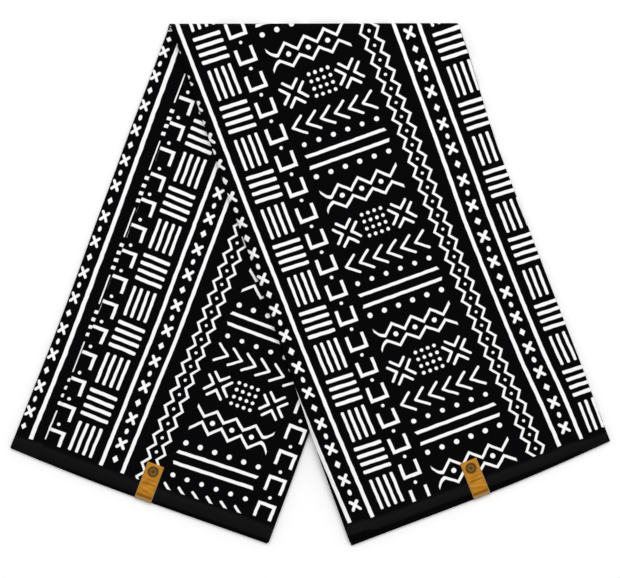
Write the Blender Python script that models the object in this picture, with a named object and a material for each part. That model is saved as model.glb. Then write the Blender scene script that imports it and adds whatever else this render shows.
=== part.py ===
"""A two-yard length of printed cotton, folded back and forth into a long pack of six layers.

The pack is folded once more over a slanting crease at the back, so two legs spread towards the
front and the right leg lies on the left one. A foil label is stuck over the foot of each leg.
Lengths are in metres, +Z is up and the underside rests at z = 0.
"""

import math

import bmesh
import bpy
from mathutils import Vector

# The cloth and the pack of its layers
SHEET = 0.0010
GAP = 0.00035
LAYERS = 6
PITCH = SHEET + GAP
PACK = LAYERS * SHEET + (LAYERS - 1) * GAP
LEG_GAP = 0.0008
FOLD_STEPS = 4

# Where the corners of the two legs lie, seen from above
CREASE_LEFT = Vector((-0.1569, 0.2924))
CREASE_RIGHT = Vector((0.1656, 0.2924))
LEFT_FOOT_OUTER = Vector((-0.3359, -0.1828))
LEFT_FOOT_INNER = Vector((-0.0466, -0.2903))
RIGHT_FOOT_INNER = Vector((0.0456, -0.2922))
RIGHT_FOOT_OUTER = Vector((0.3359, -0.1748))

# The crease bends round a level axis just above the left leg
AXIS_Z = PACK + LEG_GAP / 2
AXIS_Y = CREASE_LEFT.y - AXIS_Z
BEND_STEPS = 8

# The right leg comes down beside the left one, over a few columns of the grid
COLUMNS = 10
EXTRA_ROWS = 3
RAMP = ((0.2, 0.0), (1.0, 0.26), (2.0, 0.74), (3.0, 1.0))
LEFT_ROWS = 3

# Each foot bows out a little at the middle
FOOT_BOW = 0.0029

# Places along the pack are counted from 0 at the left foot over 1 at the crease to 2 at the right foot
# How far the pack's two sides are drawn in from the straight lines between the corners
LEFT_SIDE_IN = (
    (0.0, 0.0), (0.28, 0.0013), (0.6, 0.0), (1.0, 0.0), (1.3, -0.0015), (1.85, -0.0016), (2.0, -0.0004),
)
RIGHT_SIDE_IN = ((1.0, 0.0), (1.05, 0.0), (1.27, 0.0050), (1.43, 0.0050), (2.0, 0.0004))

# How far the cut edges of the first and the last layer lie in from the left side
CUT_EDGE = ((0.0, 0.0336), (0.14, 0.0338), (0.4, 0.0379), (1.0, 0.0381))
LAST_CUT = ((0.0, 0.0006), (1.0, 0.0003), (1.2, 0.0))

# How far each layer's woven edge stops short of the foot, from the bottom layer up (left leg)
LEFT_SHORT = (0.0003, 0.0006, 0.0000, 0.0004, 0.0010, 0.0045)
RIGHT_SHORT = (0.0045, 0.0010, 0.0003, 0.0000, 0.0005, 0.0008)

# How far each fold lies in from its side of the pack, at four places along it
# Folds are counted from the first layer on, so the odd ones are on the right side
FOLD_PLACES = (0.0, 1.0, 1.85, 2.0)
FOLD_IN = (
    (0.0000, 0.0000, 0.0015, 0.0030),
    (0.0000, 0.0000, 0.0006, 0.0006),
    (0.0010, 0.0008, 0.0008, 0.0000),
    (0.0010, 0.0005, 0.0006, 0.0012),
    (0.0020, 0.0010, 0.0003, 0.0040),
)

# Foil labels
LABEL_WIDTH = 0.0196
LABEL_THICKNESS = 0.0004
LEFT_LABEL_ACROSS = 0.516
RIGHT_LABEL_ACROSS = 0.503
CLEAR = 0.0003

BLACK_COTTON = (0.012, 0.012, 0.014, 1.0)
GOLD_FOIL = (0.62, 0.25, 0.02, 1.0)


def clear_scene():
    for obj in list(bpy.data.objects):
        bpy.data.objects.remove(obj, do_unlink=True)


def make_material(name, colour, metallic, roughness):
    material = bpy.data.materials.new(name)
    material.use_nodes = True
    shader = material.node_tree.nodes["Principled BSDF"]
    shader.inputs["Base Color"].default_value = colour
    shader.inputs["Metallic"].default_value = metallic
    shader.inputs["Roughness"].default_value = roughness
    return material


def make_object(name, mesh, material):
    bmesh.ops.recalc_face_normals(mesh, faces=mesh.faces)
    data = bpy.data.meshes.new(name)
    mesh.to_mesh(data)
    mesh.free()
    data.materials.append(material)
    obj = bpy.data.objects.new(name, data)
    bpy.context.scene.collection.objects.link(obj)
    return obj


def between(start, end, share):
    return start + (end - start) * share


def from_table(table, value):
    """The value read off a table of (place, amount), straight between its rows."""
    if value <= table[0][0]:
        return table[0][1]
    for (place, amount), (next_place, next_amount) in zip(table, table[1:]):
        if value <= next_place:
            return between(amount, next_amount, (value - place) / (next_place - place))
    return table[-1][1]


def layer_height(layer):
    return SHEET / 2 + layer * PITCH


def section_ribs():
    """The section's ribs, from the first cut edge to the last.

    Each rib is (column, offset, height, across, up, layer, fold): the side or grid column it is
    measured from, its distance from there, its height in the pack, the direction to its outer
    face, the layer it belongs to and the fold it follows.
    """
    ribs = []
    radius = PITCH / 2
    reach = radius + SHEET / 2
    for turn in range(LAYERS):
        layer = LAYERS - 1 - turn
        height = layer_height(layer)
        heading = 1 if turn % 2 == 0 else -1
        columns = [place / COLUMNS for place in range(1, COLUMNS)]
        if heading < 0:
            columns.reverse()
        if turn == 0:
            ribs.append(("cut", 0.0, height, 0.0, 1.0, layer, 0))
            columns = columns[1:]
        for column in columns:
            ribs.append((column, 0.0, height, 0.0, float(heading), layer, 0))
        if turn == LAYERS - 1:
            ribs.append(("end", 0.0, height, 0.0, float(heading), layer, 0))
            continue
        middle = height - radius
        side = 1.0 if heading > 0 else 0.0
        for step in range(FOLD_STEPS + 1):
            angle = math.pi / 2 - math.pi * step / FOLD_STEPS
            offset = heading * (radius * math.cos(angle) - reach)
            up = middle + radius * math.sin(angle)
            part = layer - step / FOLD_STEPS
            ribs.append((side, offset, up, math.cos(angle), heading * math.sin(angle), part, turn + 1))
    return ribs


def left_point(across, along):
    crease = between(CREASE_LEFT, CREASE_RIGHT, across)
    foot = between(LEFT_FOOT_OUTER, LEFT_FOOT_INNER, across)
    return between(crease, foot, along)


def right_point(across, along):
    crease = between(CREASE_LEFT, CREASE_RIGHT, across)
    foot = between(RIGHT_FOOT_INNER, RIGHT_FOOT_OUTER, across)
    return between(crease, foot, along)


def beside_left_leg(point):
    """How far a point lies to the right of the left leg's right side."""
    along = (LEFT_FOOT_INNER - CREASE_RIGHT).normalized()
    offset = point - CREASE_RIGHT
    return offset.y * along.x - offset.x * along.y


COLUMN_WIDTH = beside_left_leg(CREASE_RIGHT + (CREASE_RIGHT - CREASE_LEFT) / COLUMNS)


def lowered(point):
    """How far the right leg has come down at this point."""
    share = from_table(RAMP, beside_left_leg(point) / COLUMN_WIDTH)
    return share * (2 * AXIS_Z - PACK)


def row_list():
    """The rows from the left foot to the right one: (part, how far along it)."""
    rows = [("left", 1 - step / LEFT_ROWS) for step in range(LEFT_ROWS)]
    rows.append(("left", 0.0))
    for step in range(1, BEND_STEPS):
        rows.append(("bend", math.pi * step / BEND_STEPS))
    rows.append(("right", 0.0))
    for step in range(1, COLUMNS + 1):
        across = 1 - step / COLUMNS
        near = beside_left_leg(right_point(across, 0.0))
        far = beside_left_leg(right_point(across, 1.0))
        rows.append(("right", near / (near - far)))
    last = rows[-1][1]
    for step in range(1, EXTRA_ROWS + 1):
        rows.append(("right", between(last, 1.0, step / EXTRA_ROWS)))
    return rows


def along_pack(row):
    """0 at the left foot, 1 at the crease, 2 at the right foot."""
    part, value = row
    if part == "left":
        return 1 - value
    if part == "bend":
        return 1.0
    return 1 + value


def rib_place(rib, row):
    """Where a rib lies across the pack: 0 on the left side, 1 on the right side."""
    column, offset, _, _, _, _, fold = rib
    width = (CREASE_RIGHT - CREASE_LEFT).length
    travel = along_pack(row)
    left_side = from_table(LEFT_SIDE_IN, travel) / width
    if column == "cut":
        return left_side + from_table(CUT_EDGE, travel) / width
    if column == "end":
        return left_side + from_table(LAST_CUT, travel) / width
    if not fold:
        return column
    inset = from_table(tuple(zip(FOLD_PLACES, FOLD_IN[fold - 1])), travel)
    if column == 0.0:
        return left_side + (offset + inset) / width
    return column + (offset - inset - from_table(RIGHT_SIDE_IN, travel)) / width


def foot_gap(shorts, across, layer):
    """How far a layer's woven edge stops short of the straight line between the foot's corners."""
    return from_table(tuple(enumerate(shorts)), layer) - FOOT_BOW * math.sin(math.pi * across)


def place_on(across, height, row, layer):
    """The point in the world for a place across the pack and a height in it."""
    part, value = row
    near_left = AXIS_Z / (CREASE_LEFT.y - left_point(across, 1.0).y)
    near_right = AXIS_Z / (CREASE_LEFT.y - right_point(across, 1.0).y)
    if part == "left":
        length = (left_point(across, 1.0) - left_point(across, 0.0)).length
        last = 1 - foot_gap(LEFT_SHORT, across, layer) / length
        point = left_point(across, between(near_left, last, value))
        return Vector((point.x, point.y, height))
    if part == "bend":
        radius = AXIS_Z - height
        start = left_point(across, near_left).x
        end = right_point(across, near_right).x
        share = (1 - math.cos(value)) / 2
        return Vector((
            between(start, end, share),
            AXIS_Y + radius * math.sin(value),
            AXIS_Z - radius * math.cos(value),
        ))
    along = max(value, near_right)
    if value == 1.0:
        length = (right_point(across, 1.0) - right_point(across, 0.0)).length
        along -= foot_gap(RIGHT_SHORT, across, layer) / length
    point = right_point(across, along)
    return Vector((point.x, point.y, 2 * AXIS_Z - height - lowered(point)))


def build_cloth(material):
    ribs = section_ribs()
    rows = row_list()
    width = (CREASE_RIGHT - CREASE_LEFT).length
    mesh = bmesh.new()
    rings = []
    for row in rows:
        ring = []
        for rib in ribs:
            across = rib_place(rib, row)
            pair = []
            for side in (1, -1):
                shift = side * SHEET / 2
                pair.append((across + shift * rib[3] / width, rib[2] + shift * rib[4]))
            ring.append([
                mesh.verts.new(place_on(place, height, row, rib[5])) for place, height in pair
            ])
        rings.append(ring)
    for near, far in zip(rings, rings[1:]):
        for rib in range(len(ribs) - 1):
            for side in (0, 1):
                corners = (near[rib][side], near[rib + 1][side], far[rib][side], far[rib + 1][side])
                add_cell(mesh, corners)
        for rib in (0, len(ribs) - 1):
            mesh.faces.new((near[rib][0], near[rib][1], far[rib][1]))
            mesh.faces.new((near[rib][0], far[rib][1], far[rib][0]))
    for ring in (rings[0], rings[-1]):
        for first, second in zip(ring, ring[1:]):
            mesh.faces.new((first[0], second[0], second[1]))
            mesh.faces.new((first[0], second[1], first[1]))
    return make_object("cloth", mesh, material)


def add_cell(mesh, corners):
    """Two triangles that meet on the diagonal running down towards the left."""
    first, second, third, fourth = corners
    if first.co.x > second.co.x:
        first, second, third, fourth = second, first, fourth, third
    mesh.faces.new((first, second, third))
    mesh.faces.new((second, fourth, third))


def label_profile():
    """The middle of the foil from its upper end down over the foot: (distance in, height)."""
    top = PACK + CLEAR + LABEL_THICKNESS / 2
    over = CLEAR + LABEL_THICKNESS
    return (
        (0.0426, top),
        (0.0240, top),
        (0.0043, top),
        (0.0010, top - PITCH + 0.0001),
        (-over, top - PITCH - 0.0006),
        (-over, 0.0026),
    )


def build_label(name, foot_start, foot_end, share, material):
    """A foil strip that lies on the leg and is turned down over its foot."""
    across = (foot_end - foot_start).normalized()
    inward = Vector((-across.y, across.x))
    middle = between(foot_start, foot_end, share) - inward * FOOT_BOW
    profile = label_profile()
    mesh = bmesh.new()
    rings = []
    for number, (distance, height) in enumerate(profile):
        before = profile[max(number - 1, 0)]
        after = profile[min(number + 1, len(profile) - 1)]
        normal = miter(before, (distance, height), after)
        ring = []
        for side, face in ((-1, 1), (1, 1), (1, -1), (-1, -1)):
            shift = face * LABEL_THICKNESS / 2
            place = middle + across * side * LABEL_WIDTH / 2 + inward * (distance + shift * normal[0])
            ring.append(mesh.verts.new((place.x, place.y, height + shift * normal[1])))
        rings.append(ring)
    for near, far in zip(rings, rings[1:]):
        for corner in range(4):
            following = (corner + 1) % 4
            mesh.faces.new((near[corner], near[following], far[following], far[corner]))
    mesh.faces.new(rings[0])
    mesh.faces.new(rings[-1])
    return make_object(name, mesh, material)


def miter(before, here, after):
    """The direction to the outer face at a corner, long enough to keep the thickness even."""
    normals = []
    for start, end in ((before, here), (here, after)):
        run = end[0] - start[0]
        rise = end[1] - start[1]
        size = math.hypot(run, rise)
        if size > 0:
            normals.append((rise / size, -run / size))
    first = normals[0]
    last = normals[-1]
    total = (first[0] + last[0], first[1] + last[1])
    size = math.hypot(*total)
    unit = (total[0] / size, total[1] / size)
    scale = 1 / (unit[0] * first[0] + unit[1] * first[1])
    return (unit[0] * scale, unit[1] * scale)


clear_scene()
cotton = make_material("printed_cotton", BLACK_COTTON, 0.0, 0.85)
foil = make_material("gold_foil", GOLD_FOIL, 0.6, 0.4)
build_cloth(cotton)
build_label("label_left", LEFT_FOOT_OUTER, LEFT_FOOT_INNER, LEFT_LABEL_ACROSS, foil)
build_label("label_right", RIGHT_FOOT_INNER, RIGHT_FOOT_OUTER, RIGHT_LABEL_ACROSS, foil)
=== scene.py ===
# %% [markdown]
# # A folded length of wax print cotton
#
# Two yards of black and white cotton lie on a pale surface. The cloth is folded back and forth
# into a long pack of six layers. Then the pack is folded over once more, on a slant, so two legs
# spread like an upside-down V. This lesson folds a flat sheet into that shape, prints the cloth
# with a pattern that is worked out at each point, and sticks a foil label on each foot.
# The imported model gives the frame: every piece has to lie where its plain solid lies.

# %% Load the frame
import math

import bmesh
import bpy
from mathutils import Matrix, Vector


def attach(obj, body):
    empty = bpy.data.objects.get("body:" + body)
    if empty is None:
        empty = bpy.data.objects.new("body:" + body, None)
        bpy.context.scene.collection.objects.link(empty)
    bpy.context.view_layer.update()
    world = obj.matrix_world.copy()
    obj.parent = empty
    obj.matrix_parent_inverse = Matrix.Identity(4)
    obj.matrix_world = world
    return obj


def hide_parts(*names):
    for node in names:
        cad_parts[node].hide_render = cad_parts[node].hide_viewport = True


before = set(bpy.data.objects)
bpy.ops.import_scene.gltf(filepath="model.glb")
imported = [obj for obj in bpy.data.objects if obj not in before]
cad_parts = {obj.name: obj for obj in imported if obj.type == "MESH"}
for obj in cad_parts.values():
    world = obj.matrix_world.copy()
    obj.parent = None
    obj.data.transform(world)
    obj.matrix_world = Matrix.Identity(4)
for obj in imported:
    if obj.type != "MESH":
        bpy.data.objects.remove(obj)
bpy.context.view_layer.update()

# %% [markdown]
# ## The camera
#
# The photograph looks straight down. A camera far above with a long lens shows almost no
# perspective, which suits a flat thing whose parts differ in height by only a few millimetres.
# One pixel is 1.12 mm on the cloth, and the picture is 620 pixels wide.

# %% Camera
PIXEL = 0.00112
PICTURE = (620, 578)
CAMERA_HEIGHT = 4.0
PICTURE_MIDDLE = Vector((-0.0001, -0.0044))

lens = bpy.data.cameras.new("camera")
lens.sensor_width = 36.0
lens.lens = 36.0 * (CAMERA_HEIGHT - 0.010) / (PICTURE[0] * PIXEL)
lens.clip_end = 50.0
camera = bpy.data.objects.new("camera", lens)
camera.location = (PICTURE_MIDDLE.x, PICTURE_MIDDLE.y, CAMERA_HEIGHT)
bpy.context.scene.collection.objects.link(camera)
bpy.context.scene.camera = camera
print("lens", round(lens.lens, 1), "mm")

# %% [markdown]
# ## The floor and the light
#
# The surface is nearly pure white, so the floor is a plain pale sheet. The light is broad and
# soft and comes a little from the crease's side: the only shadows are faint ones below the feet.
# A pale sky gives a part of the light, and one large lamp gives the rest.

# %% Floor
def plain_material(name, colour, roughness):
    material = bpy.data.materials.new(name)
    material.use_nodes = True
    shader = material.node_tree.nodes["Principled BSDF"]
    shader.inputs["Base Color"].default_value = (*colour, 1.0)
    shader.inputs["Roughness"].default_value = roughness
    return material


def object_from(name, mesh):
    data = bpy.data.meshes.new(name)
    mesh.to_mesh(data)
    mesh.free()
    made = bpy.data.objects.new(name, data)
    bpy.context.scene.collection.objects.link(made)
    return made


ground = bmesh.new()
bmesh.ops.create_grid(ground, x_segments=1, y_segments=1, size=6.0)
floor = object_from("floor", ground)
white_table = plain_material("white_table", (0.97, 0.97, 0.97), 0.9)
table_shader = white_table.node_tree.nodes["Principled BSDF"]
table_shader.inputs["Specular IOR Level"].default_value = 0.1
floor.data.materials.append(white_table)
print("floor faces", len(floor.data.polygons))

# %% Light
def soft_lamp(name, place, target, size, power):
    light = bpy.data.lights.new(name, "AREA")
    light.shape = "SQUARE"
    light.size = size
    light.energy = power
    lamp = bpy.data.objects.new(name, light)
    lamp.location = place
    lamp.rotation_euler = (Vector(target) - Vector(place)).to_track_quat("-Z", "Y").to_euler()
    bpy.context.scene.collection.objects.link(lamp)
    return lamp


sky = bpy.data.worlds.new("studio")
sky.use_nodes = True
sky.node_tree.nodes["Background"].inputs["Color"].default_value = (1.0, 1.0, 1.0, 1.0)
sky.node_tree.nodes["Background"].inputs["Strength"].default_value = 0.48
bpy.context.scene.world = sky
soft_lamp("window", (0.2, 1.3, 4.6), (0.0, 0.0, 0.0), 3.4, 163.0)
bpy.context.scene.view_settings.view_transform = "Standard"

# %% [markdown]
# ## How the pack lies
#
# The corners and the sheet's sizes are the solid's own. The two legs are long four-sided strips
# that share one side, the crease. Six layers of cloth lie in each leg with a small space between
# them. The real layers are thinner and touch, but a gap keeps them apart as clean surfaces.

# %% Sizes of the pack
SHEET = 0.0010
GAP = 0.00035
LAYERS = 6
PITCH = SHEET + GAP
PACK = LAYERS * SHEET + (LAYERS - 1) * GAP
LEG_GAP = 0.0008
AXIS_Z = PACK + LEG_GAP / 2

CREASE_LEFT = Vector((-0.1569, 0.2924))
CREASE_RIGHT = Vector((0.1656, 0.2924))
LEFT_FOOT_OUTER = Vector((-0.3359, -0.1828))
LEFT_FOOT_INNER = Vector((-0.0466, -0.2903))
RIGHT_FOOT_INNER = Vector((0.0456, -0.2922))
RIGHT_FOOT_OUTER = Vector((0.3359, -0.1748))
AXIS_Y = CREASE_LEFT.y - AXIS_Z
CREASE_WIDTH = (CREASE_RIGHT - CREASE_LEFT).length
print("pack", round(PACK * 1000, 2), "mm high and", round(CREASE_WIDTH * 1000), "mm wide at the crease")

# %% Small helpers for tables
def between(start, end, share):
    return start + (end - start) * share


def from_table(table, value):
    """Reads a table of (place, amount), straight between its rows."""
    if value <= table[0][0]:
        return table[0][1]
    for (place, amount), (next_place, next_amount) in zip(table, table[1:]):
        if value <= next_place:
            return between(amount, next_amount, (value - place) / (next_place - place))
    return table[-1][1]


def smooth_step(value):
    value = min(max(value, 0.0), 1.0)
    return value * value * (3 - 2 * value)


# %% [markdown]
# ## Folding the sheet
#
# Real cloth of this kind starts as a flat rectangle, so the model does too. It is a grid with one
# line of points for each stop along the back-and-forth path, and one for each stop from the left
# foot over the crease to the right foot. Moving the points to their folded places keeps the grid
# whole, so the cloth stays one sheet, and each point still knows where it was on the flat cloth.
# That is what the print needs. One fault is left: along the innermost bend of the crease the
# cloth crosses itself in a narrow strip between the legs.

# %% Stops along the back-and-forth path
COLUMNS = 30
FINE_COLUMNS = [0.010 + 0.010 * place for place in range(12)]
TURN_STEPS = 8
CUT_EDGE = ((0.0, 0.0355), (0.14, 0.0364), (0.26, 0.0376), (0.38, 0.0391), (0.6, 0.0408), (1.0, 0.0410))
LAST_CUT = ((0.0, 0.0006), (1.0, 0.0003), (1.2, 0.0))
FOLD_PLACES = (0.0, 1.0, 1.85, 2.0)
FOLD_IN = (
    (0.0000, 0.0000, 0.0015, 0.0030),
    (0.0000, 0.0000, 0.0006, 0.0006),
    (0.0010, 0.0008, 0.0008, 0.0000),
    (0.0010, 0.0005, 0.0006, 0.0012),
    (0.0020, 0.0010, 0.0003, 0.0012),
)
LEFT_SIDE_IN = (
    (0.0, -0.0006), (0.07, -0.0002), (0.16, 0.0008), (0.25, 0.0016), (0.43, 0.0017), (0.6, 0.0005),
    (0.78, -0.0001), (0.87, -0.0004), (1.0, 0.0), (1.3, -0.0012), (1.85, -0.0008), (2.0, 0.0002),
)
RIGHT_SIDE_IN = (
    (1.0, 0.0), (1.05, -0.0003), (1.21, 0.0038), (1.28, 0.0045), (1.36, 0.0037), (1.52, 0.0031),
    (1.75, 0.0014), (1.9, -0.0004), (2.0, -0.0008),
)


def path_stops():
    """Stops as (column, offset, height, layer from the bottom, turn)."""
    stops = []
    radius = PITCH / 2
    reach = radius + SHEET / 2
    for turn in range(LAYERS):
        layer = LAYERS - 1 - turn
        height = SHEET / 2 + layer * PITCH
        columns = [place / COLUMNS for place in range(1, COLUMNS)]
        if turn == 0:
            columns = ["cut"] + [column for column in columns if column > 0.125]
        if turn == 1:
            columns = FINE_COLUMNS + [column for column in columns if column > 0.13]
        if turn % 2:
            columns.reverse()
        if turn == LAYERS - 1:
            columns.append("end")
        stops += [(column, 0.0, height, layer, 0) for column in columns]
        if turn == LAYERS - 1:
            break
        heading = -1 if turn % 2 else 1
        side = 1.0 if heading > 0 else 0.0
        for step in range(TURN_STEPS + 1):
            angle = math.pi / 2 - math.pi * step / TURN_STEPS
            offset = heading * (radius * math.cos(angle) - reach)
            up = height - radius + radius * math.sin(angle)
            stops.append((side, offset, up, layer - step / TURN_STEPS, turn + 1))
    return stops


STOPS = path_stops()
print("stops along the path", len(STOPS))

# %% Rows from the left foot to the right foot
LEFT_ROWS = 34
BEND_ROWS = 20
RIGHT_ROWS = 46


def row_stops():
    rows = [("left", 1 - step / LEFT_ROWS) for step in range(LEFT_ROWS + 1)]
    rows += [("bend", math.pi * step / BEND_ROWS) for step in range(1, BEND_ROWS)]
    rows += [("right", step / RIGHT_ROWS) for step in range(RIGHT_ROWS + 1)]
    return rows


def travel(row):
    """0 at the left foot, 1 at the crease and 2 at the right foot."""
    part, value = row
    return {"left": 1 - value, "bend": 1.0, "right": 1 + value}[part]


ROWS = row_stops()
print("rows", len(ROWS))

# %% Where a point of the pack lies
LEFT_SHORT = (0.0001, 0.0004, -0.0003, 0.0002, 0.0008, 0.0043)
RIGHT_SHORT = (0.0041, 0.0006, -0.0001, -0.0004, 0.0001, 0.0004)
LEFT_FOOT_BOW = (0.0027, 0.0005)
RIGHT_FOOT_BOW = (0.0034, -0.0006)
CREASE_BULGE = (0.0004, 0.0012)
RAMP_START = 0.006
RAMP_LENGTH = 0.085


def leg_point(foot_left, foot_right, across, along):
    crease = between(CREASE_LEFT, CREASE_RIGHT, across)
    return between(crease, between(foot_left, foot_right, across), along)


def left_point(across, along):
    return leg_point(LEFT_FOOT_OUTER, LEFT_FOOT_INNER, across, along)


def right_point(across, along):
    return leg_point(RIGHT_FOOT_INNER, RIGHT_FOOT_OUTER, across, along)


def foot_bow(bow, across):
    """How far a foot bulges, with a little more on one side than on the other."""
    middle, askew = bow
    return middle * math.sin(math.pi * across) + askew * math.sin(2 * math.pi * across)


def foot_share(point_on, shorts, bow, across, layer):
    """The share of a leg's length at which a layer's woven edge lies."""
    short = from_table(tuple(enumerate(shorts)), layer) - foot_bow(bow, across)
    return 1 - short / (point_on(across, 1.0) - point_on(across, 0.0)).length


def beside_left_leg(point):
    along = (LEFT_FOOT_INNER - CREASE_RIGHT).normalized()
    offset = point - CREASE_RIGHT
    return offset.y * along.x - offset.x * along.y


def lowered(point):
    share = smooth_step((beside_left_leg(point) - RAMP_START) / RAMP_LENGTH)
    return share * (2 * AXIS_Z - PACK)


def place_in_pack(across, height, row, layer):
    part, value = row
    near_left = AXIS_Z / (CREASE_LEFT.y - left_point(across, 1.0).y)
    near_right = AXIS_Z / (CREASE_LEFT.y - right_point(across, 1.0).y)
    if part == "left":
        last = foot_share(left_point, LEFT_SHORT, LEFT_FOOT_BOW, across, layer)
        point = left_point(across, between(near_left, last, value))
        return Vector((point.x, point.y, height))
    if part == "right":
        last = foot_share(right_point, RIGHT_SHORT, RIGHT_FOOT_BOW, across, layer)
        point = right_point(across, between(near_right, last, value))
        return Vector((point.x, point.y, 2 * AXIS_Z - height - lowered(point)))
    radius = AXIS_Z - height
    start = left_point(across, near_left).x
    end = right_point(across, near_right).x
    side = between(start, end, (1 - math.cos(value)) / 2)
    bulge = between(CREASE_BULGE[0], CREASE_BULGE[1], across)
    return Vector((side, AXIS_Y + (radius + bulge) * math.sin(value), AXIS_Z - radius * math.cos(value)))


print("left leg", round((LEFT_FOOT_OUTER - CREASE_LEFT).length * 1000), "mm along its left side")

# %% [markdown]
# Folded cotton is never quite even. Each fold wanders by a fraction of a millimetre, and the
# layers rise and sink together in long shallow waves. The waves grow with the height above the
# table, so the layers keep their order and the underside stays flat.

# %% Unevenness
def wander(place, turn):
    """How far a fold strays; the folds of one side stray together, so the top one hides the rest."""
    side = turn % 2 * 1.9
    together = 0.00022 * math.sin(place * 9.0 + side) + 0.00016 * math.sin(place * 23.0 + side)
    return together + 0.00005 * math.sin(place * 31.0 + turn)


SWELL = 0.035


def swell(point):
    wave = math.sin(point.x * 21.0 + point.y * 13.0 + 0.6) * 0.5
    wave += math.sin(point.x * -17.0 + point.y * 31.0 + 2.0) * 0.3
    wave += math.sin(point.x * 47.0 + point.y * 5.0 + 4.0) * 0.2
    return 1 + SWELL * wave


def swollen(point, height):
    """The height after the swell; the bottom layer's middle keeps its own."""
    return SHEET / 2 + (height - SHEET / 2) * swell(point)


def across_pack(stop, row):
    """How far across the pack a stop lies: 0 on the left side, 1 on the right side."""
    column, offset, _, _, turn = stop
    place = travel(row)
    left_side = from_table(LEFT_SIDE_IN, place) + wander(place, 0)
    if column == "cut":
        return (left_side + from_table(CUT_EDGE, place) + wander(place * 1.7, 3)) / CREASE_WIDTH
    if column == "end":
        return (left_side + from_table(LAST_CUT, place)) / CREASE_WIDTH
    if not turn:
        return column
    inset = from_table(tuple(zip(FOLD_PLACES, FOLD_IN[turn - 1])), place)
    if column == 0.0:
        return (left_side + inset + offset) / CREASE_WIDTH
    right_side = from_table(RIGHT_SIDE_IN, place) + wander(place, turn)
    return column + (offset - inset - right_side) / CREASE_WIDTH


print("the top layer swells by up to", round(SWELL * PACK * 1000, 2), "mm")

# %% Fold the sheet
sheet = bmesh.new()
bmesh.ops.create_grid(sheet, x_segments=len(STOPS) - 1, y_segments=len(ROWS) - 1, size=1.0)
where = {}
for point in sheet.verts:
    stop_number = round((point.co.x + 1) / 2 * (len(STOPS) - 1))
    row_number = round((point.co.y + 1) / 2 * (len(ROWS) - 1))
    where[point] = (stop_number, row_number)
for point, (stop_number, row_number) in where.items():
    stop = STOPS[stop_number]
    row = ROWS[row_number]
    folded = place_in_pack(across_pack(stop, row), stop[2], row, stop[3])
    folded.z = swollen(folded, folded.z)
    point.co = folded
print("folded points", len(sheet.verts))

# %% [markdown]
# ## Where the print falls
#
# The pattern was printed on the flat cloth, so it has to turn and fold with it. Each point gets
# two numbers in a map: how far it is along the bolt, across the pattern's columns, and how far it
# is between the two woven edges. Each leg has its own straight frame, turned by the angle at
# which its columns run, and small tables bend the columns as the cloth lies. The hidden layers
# share what lies between the two faces that show. The last layer goes round the outside of the
# crease, so its print runs on over the bend, as if that layer were rolled out flat.

# %% Frames of the two printed faces
MM = 0.001
LEFT_TURN = math.radians(20.5)
RIGHT_TURN = math.radians(21.5)
REPEAT = 252.0


def left_frame(point):
    """Millimetres in from the left side, and down from the crease's left end."""
    right, down = point.x - CREASE_LEFT.x, CREASE_LEFT.y - point.y
    inward = right * math.cos(LEFT_TURN) + down * math.sin(LEFT_TURN)
    along = down * math.cos(LEFT_TURN) - right * math.sin(LEFT_TURN)
    return inward / MM, along / MM


def right_frame(point):
    right, down = point.x - CREASE_LEFT.x, CREASE_LEFT.y - point.y
    inward = right * math.cos(RIGHT_TURN) - down * math.sin(RIGHT_TURN)
    along = down * math.cos(RIGHT_TURN) + right * math.sin(RIGHT_TURN)
    return inward / MM, along / MM


print("left foot's corner in its frame", [round(size) for size in left_frame(LEFT_FOOT_OUTER)])

# %% Print on the first layer
LEFT_BOW = ((325, 0.0), (425, -1.7), (482, -3.4))
LEFT_PULL = (
    (42, 1.3), (78, 1.6), (104, 1.4), (130, 0.9), (157, 0.3), (185, -0.8), (215, -1.2),
    (265, -2.0), (285, -3.0),
)
LEFT_PULL_AT_FOOT = (
    (42, -1.0), (78, 0.2), (104, 0.8), (130, -0.2), (157, 0.0), (180, -0.5), (215, -1.5),
    (265, -2.2), (285, -2.6),
)
LEFT_AHEAD = (
    (224, 0.6), (280, 1.2), (325, 2.4), (361, 3.4), (402, 2.3), (432, 1.4), (457, 0.5), (485, 0.0),
)
LEFT_AHEAD_SHARE = ((135, 0.0), (143, 0.5), (168, 0.5), (175, 1.0))
LEFT_START = 34.7
LEFT_TOP = -10.9
LEFT_SCALE = 1.02
LEFT_SLANT = -0.04


def print_on_left(point):
    """Along the bolt and between the woven edges, for the layer on top of the left leg."""
    inward, along = left_frame(point)
    inward -= from_table(LEFT_BOW, along)
    near_foot = smooth_step((along - 325) / 70)
    pull = between(from_table(LEFT_PULL, inward), from_table(LEFT_PULL_AT_FOOT, inward), near_foot)
    slant = LEFT_SLANT * (min(max(inward, 157), 270) - 224) * smooth_step((along - 358) / 90)
    ahead = from_table(LEFT_AHEAD, along) * from_table(LEFT_AHEAD_SHARE, inward)
    return inward - pull - LEFT_START, LEFT_TOP - LEFT_SCALE * (along - slant + ahead)


print("left foot's corner on the cloth", [round(size) for size in print_on_left(LEFT_FOOT_INNER)])

# %% Print on the strip of the second layer
SECOND_BOW = (
    (34, -0.75), (112, -0.1), (168, 0.6), (224, 1.2), (336, 1.5), (392, 1.1), (448, -0.2), (482, -1.4),
)
SECOND_LAYER = (
    (-2.2, 594.4), (1.0, 590.6), (10.2, 579.9), (15.1, 574.7), (20.1, 570.0), (33.9, 562.5),
    (34.8, 560.0), (35.9, 556.6), (37.0, 554.5), (38.4, 552.6), (39.4, 550.6), (307.0, 274.0),
)
LAG_AT_SIDE = (
    (4, 17.5), (16, 10.7), (29, 7.3), (60, 6.7), (95, 4.5), (125, 3.9), (160, 2.8), (475, 2.8),
    (490, 0.0),
)
LAG_AT_CUT = -1.9


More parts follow.
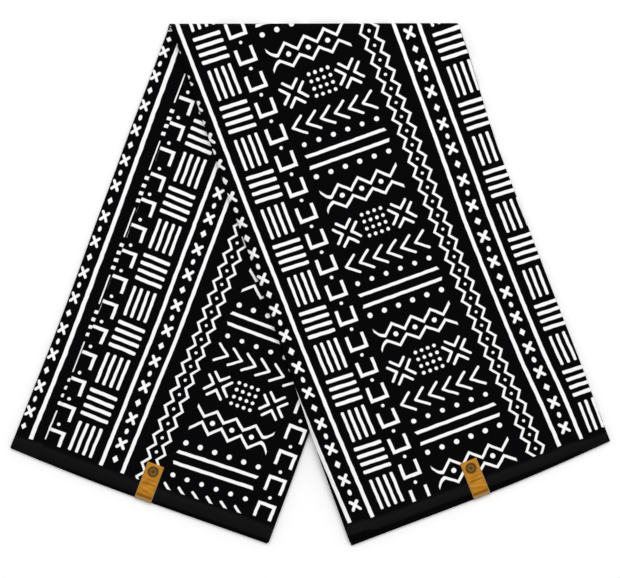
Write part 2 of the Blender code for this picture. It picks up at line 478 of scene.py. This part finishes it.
def print_on_strip(point):
    """Where the first layer is cut short, the second one shows along the left leg's left side."""
    inward, along = left_frame(point)
    inner = smooth_step((inward - 22) / 12)
    bow = between(from_table(SECOND_BOW, along), from_table(LEFT_BOW, along), inner)
    lag = between(from_table(LAG_AT_SIDE, along), LAG_AT_CUT, smooth_step((inward - 12) / 22))
    return from_table(SECOND_LAYER, inward - bow), lag


strip_start, strip_lag = print_on_strip(CREASE_LEFT)
print("strip starts", round(strip_start), "mm along the bolt, ahead by", round(strip_lag, 1), "mm")

# %% Print on the last layer
BOW_PLACES = (6, 32, 65, 132, 201, 228, 254, 280)
COLUMN_BOW = (
    (11, (1.1, 1.1, 1.1, 1.1, 0.3, 1.1, 1.1, 1.1)),
    (106, (0.4, 0.5, 0.9, 0.8, -0.6, 1.0, 1.1, 1.1)),
    (224, (-0.9, -1.0, -0.5, -1.2, -2.1, -1.6, -1.7, -1.7)),
    (280, (-0.9, -1.3, -0.4, -2.0, -3.7, -3.3, -2.3, -2.8)),
    (325, (-0.8, -1.6, -0.8, -2.7, -4.4, -5.2, -3.8, -4.8)),
    (386, (-1.1, -1.9, -1.1, -2.9, -3.7, -5.0, -4.0, -4.6)),
    (437, (-0.5, -1.4, -0.8, -2.6, -3.6, -4.5, -4.0, -5.0)),
    (493, (0.1, -0.6, 0.2, -1.1, -2.0, -3.4, -3.0, -4.0)),
    (549, (1.3, 1.0, 2.2, 2.0, 1.2, -0.3, 0.3, -0.9)),
    (600, (2.7, 2.5, 2.8, 2.3, 2.5, 1.3, 1.5, -1.6)),
)
STRETCH = ((22, 0.0), (123, 1.0), (213, 2.9), (291, 2.9), (370, 1.6), (414, 1.6), (459, 0.4), (538, 0.0))
MIDDLE_STRETCH = ((56, 0.7), (84, 1.1), (123, 2.2), (157, 1.9), (185, 0.8), (224, 0.2), (280, 0.0))
SIDE_STRETCH = ((118, 2.6), (235, 2.4), (286, 1.3), (560, 1.1))
SLANT = ((336, 0.9), (538, 0.45))
CROSS_AHEAD = ((220, 0.0), (250, 1.6))
SIDE_AHEAD = ((60, 2.0), (160, 3.3))
ROW_SLANT = 0.035
ROW_MIDDLE = 134.4
RIGHT_START = 1580.3
RIGHT_SIDE = 257.6
RIGHT_REPEAT = 251.4


def column_bow(inward, along):
    bows = []
    for number in range(len(BOW_PLACES)):
        bows.append(from_table([(place, row[number]) for place, row in COLUMN_BOW], along))
    return from_table(list(zip(BOW_PLACES, bows)), inward)


def print_on_right(point):
    """Along the bolt and between the woven edges, for the layer on top of the right leg."""
    inward, along = right_frame(point)
    inward -= column_bow(inward, along)
    slant = ROW_SLANT * (inward - ROW_MIDDLE) * from_table(SLANT, along)
    across = along - slant - from_table(STRETCH, along)
    middle = smooth_step((inward - 76) / 9) * (1 - smooth_step((inward - 215) / 9))
    across -= from_table(MIDDLE_STRETCH, along) * middle
    across -= from_table(SIDE_STRETCH, along) * smooth_step((inward - 256) / 9)
    beside_lines = smooth_step((inward - 231) / 5) * (1 - smooth_step((inward - 251) / 5))
    across += from_table(CROSS_AHEAD, along) * beside_lines
    across += from_table(SIDE_AHEAD, along) * (1 - smooth_step((inward + 1) / 5))
    return RIGHT_START + (RIGHT_SIDE - inward) * REPEAT / RIGHT_REPEAT, across


print("right foot's corner on the cloth", [round(size) for size in print_on_right(RIGHT_FOOT_OUTER)])

# %% Print on every point
SIDES = (30.0, 273.0, 592.0, 907.0, 1223.0, 1538.0, 1845.0)
UNDERSIDE_STRETCH = 1.04


def rolled_out(point, row, height):
    """The point seen as if the right leg's top layer ran on past the crease, flat and unfolded."""
    part, value = row
    if part == "right":
        return point
    radius = AXIS_Z - height
    from_top = math.pi - value if part == "bend" else math.pi
    eighth = math.pi / 4
    if from_top < eighth:
        past = math.sin(from_top)
    else:
        past = math.sin(eighth) + (from_top - eighth) * math.cos(eighth)
    flat_y = AXIS_Y + radius * past
    if part == "left":
        flat_y += UNDERSIDE_STRETCH * (AXIS_Y - point.y)
    return Vector((point.x, flat_y, point.z))


def print_place(point, across, height, layer, row):
    """The two map numbers in millimetres, for a point of any layer."""
    left_along, left_across = print_on_left(point)
    part, value = row
    turned = {"left": 0.0, "right": 1.0}.get(part, value / math.pi)
    number = LAYERS - 1 - round(layer)
    if number > LAYERS - 3:
        point = rolled_out(point, row, height)
        turned = 1.0
    right_along, right_across = print_on_right(point)
    inside = 1 - across if number % 2 else across
    along_bolt = between(SIDES[number], SIDES[number + 1], inside)
    if number == 0:
        along_bolt = between(left_along, along_bolt, turned)
    if number == 1:
        strip, lag = print_on_strip(point)
        along_bolt = between(strip, along_bolt, turned)
        left_across += lag
    if number == LAYERS - 1:
        along_bolt = right_along
    return along_bolt, between(left_across, right_across, turned)


cloth_map = sheet.loops.layers.uv.new("cloth_map")
printed = {}
for point, (stop_number, row_number) in where.items():
    stop = STOPS[stop_number]
    row = ROWS[row_number]
    printed[point] = print_place(point.co, across_pack(stop, row), stop[2], stop[3], row)
for face in sheet.faces:
    for corner in face.loops:
        along_bolt, between_edges = printed[corner.vert]
        corner[cloth_map].uv = (along_bolt * MM, between_edges * MM)
lengths = [value[0] for value in printed.values()]
widths = [value[1] for value in printed.values()]
print("print runs", round(max(lengths) - min(lengths)), "by", round(max(widths) - min(widths)), "mm")

# %% Give the sheet its thickness
for face in sheet.faces:
    face.smooth = True
cloth = object_from("printed_cloth", sheet)
body = cloth.modifiers.new("thickness", "SOLIDIFY")
body.thickness = SHEET
body.offset = 0.0
body.use_even_offset = True
body.use_rim = True
print("cloth faces", len(cloth.data.polygons))

# %% [markdown]
# ## Sums at each point
#
# A printed pattern could be painted as a picture, but a picture has a fixed sharpness. Here each
# motif is a small sum that gives the distance from its edge. Math nodes do the sums. Writing a
# node graph by hand takes many lines, so a Field stands for one number of the graph, and plain
# arithmetic on Fields adds the nodes.

# %% Fields
class Field:
    def __init__(self, tree, socket):
        self.tree = tree
        self.socket = socket

    def sum(self, kind, *others):
        node = self.tree.nodes.new("ShaderNodeMath")
        node.operation = kind
        for number, value in enumerate((self, *others)):
            if isinstance(value, Field):
                self.tree.links.new(value.socket, node.inputs[number])
            else:
                node.inputs[number].default_value = value
        return Field(self.tree, node.outputs[0])

    def __add__(self, other):
        return self.sum("ADD", other)

    def __sub__(self, other):
        return self.sum("SUBTRACT", other)

    def __mul__(self, other):
        return self.sum("MULTIPLY", other)

    def __abs__(self):
        return self.sum("ABSOLUTE")


def larger(first, *others):
    for other in others:
        first = first.sum("MAXIMUM", other)
    return first


def smaller(first, *others):
    for other in others:
        first = first.sum("MINIMUM", other)
    return first


def reach(across, along):
    """The straight distance from the middle."""
    return (across * across).sum("ADD", along * along).sum("SQRT")


# %% Repeats and plain shapes
def every(place, pitch, first=0.0):
    """The place seen from the middle of the nearest repeat, up to half a pitch either way."""
    return (place - first).sum("WRAP", pitch / 2, -pitch / 2)


def block(across, along, half_across, half_along, round_by):
    """The distance from a bar with rounded corners."""
    outside_across = larger(abs(across) - (half_across - round_by), 0.0)
    outside_along = larger(abs(along) - (half_along - round_by), 0.0)
    return reach(outside_across, outside_along) - round_by


def stroke(across, along, start, end, half_width):
    """The distance from a straight brush stroke between two points."""
    run, rise = end[0] - start[0], end[1] - start[1]
    size = run * run + rise * rise
    along_stroke = (across - start[0]) * (run / size) + (along - start[1]) * (rise / size)
    share = smaller(larger(along_stroke, 0.0), 1.0)
    return reach(across - start[0] - share * run, along - start[1] - share * rise) - half_width


print("shapes: a bar with rounded corners, a brush stroke, and rings from reach")

# %% [markdown]
# ## The cotton
#
# The material starts with the cloth's map, in millimetres. A little noise moves the places by a
# few tenths of a millimetre, because a printed line is never quite straight. The pattern repeats
# along the bolt, and within one repeat each column of motifs has its own middle.

# %% Start the cotton material
cotton = bpy.data.materials.new("printed_cotton")
cotton.use_nodes = True
tree = cotton.node_tree
shader = tree.nodes["Principled BSDF"]
map_node = tree.nodes.new("ShaderNodeUVMap")
map_node.uv_map = "cloth_map"
apart = tree.nodes.new("ShaderNodeSeparateXYZ")
tree.links.new(map_node.outputs["UV"], apart.inputs[0])
flat_bolt = Field(tree, apart.outputs[0]) * 1000.0
flat_width = Field(tree, apart.outputs[1]) * 1000.0


def noise(scale, detail, name):
    node = tree.nodes.new("ShaderNodeTexNoise")
    node.noise_dimensions = "2D"
    node.inputs["Scale"].default_value = scale
    node.inputs["Detail"].default_value = detail
    node.label = name
    tree.links.new(map_node.outputs["UV"], node.inputs["Vector"])
    return node


SHAKE = 0.9
PLACE_START = 68.3
shaky = noise(95.0, 1.0, "shaky line")
shaken = tree.nodes.new("ShaderNodeSeparateXYZ")
tree.links.new(shaky.outputs["Color"], shaken.inputs[0])
bolt = flat_bolt + (Field(tree, shaken.outputs[0]) - 0.5) * SHAKE
width = flat_width + (Field(tree, shaken.outputs[1]) - 0.5) * SHAKE
place = (bolt - PLACE_START).sum("WRAP", 245.3, 245.3 - REPEAT)
askew_width = width - (flat_bolt - 1400.0) * 0.0017
print("repeat", REPEAT, "mm")

# %% [markdown]
# ## The columns of the pattern
#
# The columns run from one woven edge to the other. In the order of the bolt they are: a line, a
# row of crosses and dots, a line, a chain of diamonds, the wide column of large motifs, a row of
# brackets, and blocks of bars. All are old, common motifs of painted mud cloth. Each is drawn
# from its own sizes and its own pitch.

# %% Two long lines with crosses, diamonds and dots between them
LINE_GAP = 26.3
LINE_HALF = 2.4
lines = abs(abs(place - LINE_GAP / 2) - LINE_GAP / 2) - LINE_HALF

CROSS_PITCH = 68.4
CROSS_ARM = (3.9, 4.6)
CROSS_BRUSH = 2.0
LOZENGE_HALF = 5.0
OVAL_HALF = 3.7
cross_side = place - LINE_GAP / 2
from_lozenge = abs(every(askew_width, CROSS_PITCH, 53.7))
cross_along = from_lozenge - 18.8
crosses = stroke(abs(cross_side), abs(cross_along), (0.0, 0.0), CROSS_ARM, CROSS_BRUSH)
lozenges = (abs(cross_side) * 1.28 + from_lozenge - LOZENGE_HALF) * 0.62
ovals = (reach(cross_side * 1.5, from_lozenge - CROSS_PITCH / 2) - OVAL_HALF) * 0.7
print("lines", LINE_GAP, "mm apart, crosses in pairs every", CROSS_PITCH, "mm")

# %% Chain of diamonds
CHAIN_PITCH = 16.88
CHAIN_HALF = 10.4
chain_side = place - 53.2
chain_along = every(width, CHAIN_PITCH, 0.6)
chain = abs(abs(chain_side) - CHAIN_HALF + abs(chain_along) * 0.78) * 0.79 - 1.6
chain_dots = reach(chain_side, chain_along) - 2.0
print("diamonds every", CHAIN_PITCH, "mm")

# %% Brackets and dots
BRACKET_PITCH = 31.1
bracket_side = place - 193.0
bracket_along = every(askew_width, BRACKET_PITCH, 2.4)
arms = block(abs(bracket_side) - 9.0, bracket_along, 2.1, 8.4, 0.7)
base = block(bracket_side, bracket_along - 8.1, 11.1, 2.2, 0.7)
bracket_dots = reach(bracket_side, every(askew_width, BRACKET_PITCH, 18.9)) - 2.2
print("brackets every", BRACKET_PITCH, "mm")

# %% Blocks of bars
BAR_PITCH = 81.8
BAR_START = 45.1
bar_side = place - 225.9
bar_along = every(width, BAR_PITCH, BAR_START)
four_across = abs(abs(abs(bar_along + bar_side * 0.035) - 9.2) - 4.6)
bars_across = block(bar_side, four_across, 16.2, 2.35, 1.6)
four_along = abs(abs(abs(bar_side) - 8.1) - 4.0)
other_block = abs(every(width, BAR_PITCH, BAR_START + BAR_PITCH / 2))
bars_along = block(four_along, other_block, 2.0, 18.1, 1.6)
print("a block of bars every", BAR_PITCH / 2, "mm")

# %% [markdown]
# ## The wide column
#
# Its motifs follow each other in a long repeat: a double line, dots, a pair of zigzags with dots,
# two stars with a cluster of dots between them, a row of chevrons, dots, and the double line
# again. Everything is measured from the middle of the double line.

# %% Double line and dots
MOTIF_PITCH = 167.6
side = place - 123.2
motif = (width - 32.1).sum("WRAP", 140.0, 140.0 - MOTIF_PITCH)
beside_line = abs(motif) - 6.5
double_line = block(side - beside_line * 0.5, beside_line, 48.2, 2.15, 0.6)


def inside(distance, side_place, half):
    """Keeps only what lies within half the column's width."""
    return larger(distance, abs(side_place) - half)


dot_side = every(side - 0.8, 17.4, 8.7)
dots_after = inside(reach(dot_side, motif - 18.0) - 3.2, side, 52.0)
dots_before = inside(reach(dot_side, motif + 20.4) - 3.0, side, 52.0)
print("the wide column repeats every", MOTIF_PITCH, "mm")

# %% Pair of zigzags
ZIG_PITCH = 23.5
zig_place = every(side, ZIG_PITCH, 1.0)
curl = larger(side - 36.25, 0.0) * larger(side * -1.0 + 47.5, 0.0)
zig = abs(zig_place) + curl * 0.085
zig_along = motif - 47.4
upper_zig = abs(zig_along + 13.0 - zig * 0.91) * 0.74 - 1.75
lower_zig = abs(zig_along - 13.6 + zig * 0.81) * 0.78 - 1.75
zigzags = inside(smaller(upper_zig, lower_zig), side - 0.75, 46.75)
zig_dots = inside(reach(zig_place, zig_along) - 3.1, side, 36.0)
print("zigzags turn every", ZIG_PITCH / 2, "mm")

# %% Stars and the cluster between them
star_along = motif - 89.0
star_side = abs(side - 1.1) - 33.6
long_way = larger(abs(star_side), abs(star_along))
short_way = smaller(abs(star_side), abs(star_along))
stars = stroke(long_way, short_way, (5.6, 0.0), (13.7, 8.3), 1.75)
cluster_side = abs(abs(abs(side - 0.3) - 7.6) - 3.8)
cluster_along = abs(abs(abs(star_along + 1.2) - 8.4) - 4.2)
CLUSTER_DOT = 2.35
cluster = reach(cluster_side, cluster_along) - CLUSTER_DOT
print("16 dots, each", CLUSTER_DOT * 2, "mm across")

# %% Chevrons
CHEVRON_PITCH = 16.9
chevron_side = every(side - 0.8, CHEVRON_PITCH, CHEVRON_PITCH / 2)
chevron_along = abs(motif - 125.4)
chevrons = stroke(chevron_side, chevron_along, (6.8, 0.0), (-6.4, 10.2), 1.7)
chevrons = inside(chevrons, side - 0.8, 50.6)
print("chevrons every", CHEVRON_PITCH, "mm")

# %% [markdown]
# ## Ink and thread
#
# The nearest motif gives one distance for the whole cloth. Just inside a motif the cotton is
# white, outside it is black, and the change takes half a millimetre. The black ink spreads by a
# few tenths of a millimetre into the white. The print stops short of the two woven edges, which
# stay plain and a little paler. Fine threads show only close up, as tiny bumps.

# %% White motifs on black
LEFT_MARGIN = -508.5
RIGHT_MARGIN = 599.6
cross_row = larger(smaller(crosses, lozenges, ovals), flat_width * -1.0 + (LEFT_MARGIN + 4.5))
cross_row = larger(cross_row, flat_width - (RIGHT_MARGIN - 7.0))
motifs = smaller(
    lines, cross_row, chain, chain_dots, arms, base, bracket_dots, bars_across, bars_along,
    double_line, dots_after, dots_before, zigzags, zig_dots, stars, cluster, chevrons,
)
motifs = larger(motifs, flat_width - RIGHT_MARGIN, flat_width * -1.0 + LEFT_MARGIN)
INK_SPREAD = 0.3
SHARPNESS = 2.2
white = smaller(larger((motifs + INK_SPREAD) * -SHARPNESS + 0.5, 0.0), 1.0)


def colour_mix(a_tree, share, first, second):
    """A colour between two others; each is a socket or a plain colour."""
    node = a_tree.nodes.new("ShaderNodeMix")
    node.data_type = "RGBA"
    for number, colour in ((6, first), (7, second)):
        if isinstance(colour, tuple):
            node.inputs[number].default_value = (*colour, 1.0)
        else:
            a_tree.links.new(colour, node.inputs[number])
    a_tree.links.new(share.socket, node.inputs[0])
    return node.outputs[2]


PRINTED_BLACK = (0.0017, 0.0017, 0.0021)
PLAIN_BLACK = (0.0070, 0.0070, 0.0077)
PRINTED_WHITE = (0.885, 0.885, 0.89)
beyond_print = larger(flat_width - RIGHT_MARGIN, flat_width * -1.0 + LEFT_MARGIN)
at_woven_edge = larger(flat_width - 612.0, flat_width * -1.0 - 526.0)
woven_band = smaller(larger(at_woven_edge * 0.4, 0.0), 0.9)
plain_share = smaller(larger(beyond_print * 0.25, 0.0), 1.0) - woven_band
black = colour_mix(tree, plain_share, PRINTED_BLACK, PLAIN_BLACK)
tree.links.new(colour_mix(tree, white, black, PRINTED_WHITE), shader.inputs["Base Color"])
print("nodes in the cotton", len(tree.nodes))

# %% Threads and surface
THREAD = 0.55
warp = (flat_bolt * (2 * math.pi / THREAD)).sum("SINE")
weft = (flat_width * (2 * math.pi / THREAD)).sum("SINE")
threads = warp * weft
bump = tree.nodes.new("ShaderNodeBump")
bump.inputs["Strength"].default_value = 0.25
bump.inputs["Distance"].default_value = 0.00006
tree.links.new(threads.socket, bump.inputs["Height"])
tree.links.new(bump.outputs["Normal"], shader.inputs["Normal"])
shader.inputs["Roughness"].default_value = 0.85
shader.inputs["Specular IOR Level"].default_value = 0.025
cloth.data.materials.append(cotton)
print("a thread every", THREAD, "mm")

# %% [markdown]
# ## The foil labels
#
# A small gold label sits on each foot, pressed round the edge. It starts as a flat grid that
# bends over the edge of the top layer and hangs down the side of the pack. The foil isn't quite
# flat: it follows the cloth and has a few soft wrinkles. A plain disc with a paler ring and two
# plain rules are stamped on it. A thin solid would do, but a grid can take the wrinkles.

# %% Sizes of a label
LABEL_WIDTH = 0.0196
LABEL_THICKNESS = 0.0004
CLEAR = 0.0003
LABEL_TOP = PACK + CLEAR + LABEL_THICKNESS / 2
LABEL_OUT = CLEAR + LABEL_THICKNESS
LABEL_PATH = (
    (0.0426, LABEL_TOP),
    (0.0043, LABEL_TOP),
    (0.0010, LABEL_TOP - PITCH + 0.0001),
    (-LABEL_OUT, LABEL_TOP - PITCH - 0.0006),
    (-LABEL_OUT, 0.0026),
)


print("label", LABEL_WIDTH * 1000, "mm wide, its top", round(LABEL_TOP * 1000, 2), "mm up")


def along_path(path, share):
    """The point at a share of the path's whole length."""
    sizes = [math.dist(start, end) for start, end in zip(path, path[1:])]
    left = share * sum(sizes)
    for start, end, size in zip(path, path[1:], sizes):
        if left <= size:
            return between(start[0], end[0], left / size), between(start[1], end[1], left / size)
        left -= size
    return path[-1]


# %% Bend a label over each foot
def make_label(name, foot_start, foot_end, bow, share_across):
    across = (foot_end - foot_start).normalized()
    inward = Vector((-across.y, across.x))
    middle = between(foot_start, foot_end, share_across) - inward * foot_bow(bow, share_across)
    foil = bmesh.new()
    bmesh.ops.create_grid(foil, x_segments=10, y_segments=48, size=0.5)
    uv = foil.loops.layers.uv.new("label_map")
    for face in foil.faces:
        face.smooth = True
        for corner in face.loops:
            corner[uv].uv = (corner.vert.co.x + 0.5, corner.vert.co.y + 0.5)
    for point in foil.verts:
        side, share = point.co.x, point.co.y + 0.5
        distance, height = along_path(LABEL_PATH, share)
        spot = middle + across * side * LABEL_WIDTH + inward * distance
        wrinkle = 0.0
        if 0.02 < share < 0.75:
            wrinkle = 0.00012 * (1 + math.sin(side * 7.0 + share * 22.0))
            wrinkle *= smooth_step((share - 0.02) * 12) * smooth_step((0.75 - share) * 12)
        point.co = (spot.x, spot.y, swollen(spot, height) + wrinkle)
    label = object_from(name, foil)
    body = label.modifiers.new("thickness", "SOLIDIFY")
    body.thickness = LABEL_THICKNESS
    body.offset = 0.0
    body.use_even_offset = True
    return label


labels = [
    make_label("foil_left", LEFT_FOOT_OUTER, LEFT_FOOT_INNER, LEFT_FOOT_BOW, 0.516),
    make_label("foil_right", RIGHT_FOOT_INNER, RIGHT_FOOT_OUTER, RIGHT_FOOT_BOW, 0.503),
]
print("labels", [label.name for label in labels])

# %% Places on the foil, in millimetres
gold = bpy.data.materials.new("gold_foil")
gold.use_nodes = True
foil_tree = gold.node_tree
foil_shader = foil_tree.nodes["Principled BSDF"]
foil_map = foil_tree.nodes.new("ShaderNodeUVMap")
foil_map.uv_map = "label_map"
foil_apart = foil_tree.nodes.new("ShaderNodeSeparateXYZ")
foil_tree.links.new(foil_map.outputs["UV"], foil_apart.inputs[0])
FOIL_LENGTH = sum(math.dist(start, end) for start, end in zip(LABEL_PATH, LABEL_PATH[1:]))
foil_across = (Field(foil_tree, foil_apart.outputs[0]) - 0.5) * (LABEL_WIDTH / MM)
foil_down = Field(foil_tree, foil_apart.outputs[1]) * (FOIL_LENGTH / MM)
print("foil", round(FOIL_LENGTH / MM, 1), "mm long")


# %% Gold with a plain stamped ring and two rules
def soft(distance, edge):
    """1 inside a shape and 0 outside it, over an edge of some millimetres."""
    return smaller(larger(distance * (-1.0 / edge) + 0.5, 0.0), 1.0)


cloudy = foil_tree.nodes.new("ShaderNodeTexNoise")
cloudy.inputs["Scale"].default_value = 3.0
cloudy.inputs["Detail"].default_value = 4.0
foil_tree.links.new(foil_map.outputs["UV"], cloudy.inputs["Vector"])
cloud = Field(foil_tree, cloudy.outputs["Fac"])
from_stamp = reach(foil_across, foil_down - 9.0)
disc = soft(from_stamp - 6.4, 1.6)
inner_ring = soft(abs(from_stamp - 2.9) - 0.6, 1.0)
thin_rule = soft(block(foil_across, foil_down - 18.6, 7.2, 0.4, 0.1), 1.0)
broad_rule = soft(block(foil_across, foil_down - 23.4, 7.0, 0.8, 0.1), 1.2)
stamp = larger(disc * 0.95 - inner_ring * 0.45, thin_rule * 0.6, broad_rule * 0.85)
rim = soft((abs(foil_across) - 9.2) * -1.0, 1.4)
fold_shade = soft(abs(foil_down - 37.7) - 1.2, 2.4)
slanting = foil_down - foil_across * 0.25
crease_light = soft(abs(slanting - 29.8) - 0.3, 1.6)
crease_shade = soft(abs(slanting - 32.4) - 0.9, 2.6)
# Painted highlight: the foil is paler where it bends over the edge and runs down the side.
bend_highlight = soft((foil_down - 40.2) * -1.0, 1.2)
GOLD_DEEP = (0.33, 0.125, 0.004)
GOLD_BRIGHT = (0.47, 0.205, 0.012)
GOLD_PALE = (0.60, 0.41, 0.17)
GOLD_SHADE = (0.15, 0.055, 0.002)
GOLD_BEND_HIGHLIGHT = (0.36, 0.28, 0.15)
STAMP_BROWN = (0.048, 0.032, 0.009)
foil_colour = colour_mix(foil_tree, cloud, GOLD_DEEP, GOLD_BRIGHT)
foil_colour = colour_mix(foil_tree, crease_shade * 0.35, foil_colour, GOLD_SHADE)
foil_colour = colour_mix(foil_tree, crease_light * 0.3, foil_colour, GOLD_PALE)
foil_colour = colour_mix(foil_tree, fold_shade * 0.9, foil_colour, GOLD_SHADE)
foil_colour = colour_mix(foil_tree, rim * 0.85, foil_colour, GOLD_PALE)
foil_colour = colour_mix(foil_tree, bend_highlight * 0.8, foil_colour, GOLD_BEND_HIGHLIGHT)
foil_colour = colour_mix(foil_tree, larger(stamp, 0.0), foil_colour, STAMP_BROWN)
foil_tree.links.new(foil_colour, foil_shader.inputs["Base Color"])
foil_bump = foil_tree.nodes.new("ShaderNodeBump")
foil_bump.inputs["Strength"].default_value = 0.3
foil_bump.inputs["Distance"].default_value = 0.0003
foil_tree.links.new(cloudy.outputs["Fac"], foil_bump.inputs["Height"])
foil_tree.links.new(foil_bump.outputs["Normal"], foil_shader.inputs["Normal"])
foil_shader.inputs["Metallic"].default_value = 0.3
foil_shader.inputs["Roughness"].default_value = 0.45
foil_shader.inputs["Specular IOR Level"].default_value = 0.08
for label in labels:
    label.data.materials.append(gold)
print("nodes in the foil", len(foil_tree.nodes))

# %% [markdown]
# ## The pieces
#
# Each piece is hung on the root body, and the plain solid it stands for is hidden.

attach(cloth, "root")
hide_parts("cloth")
for label, node in zip(labels, ("label_left", "label_right")):
    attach(label, "root")
    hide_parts(node)
print("pieces", [cloth.name] + [label.name for label in labels])
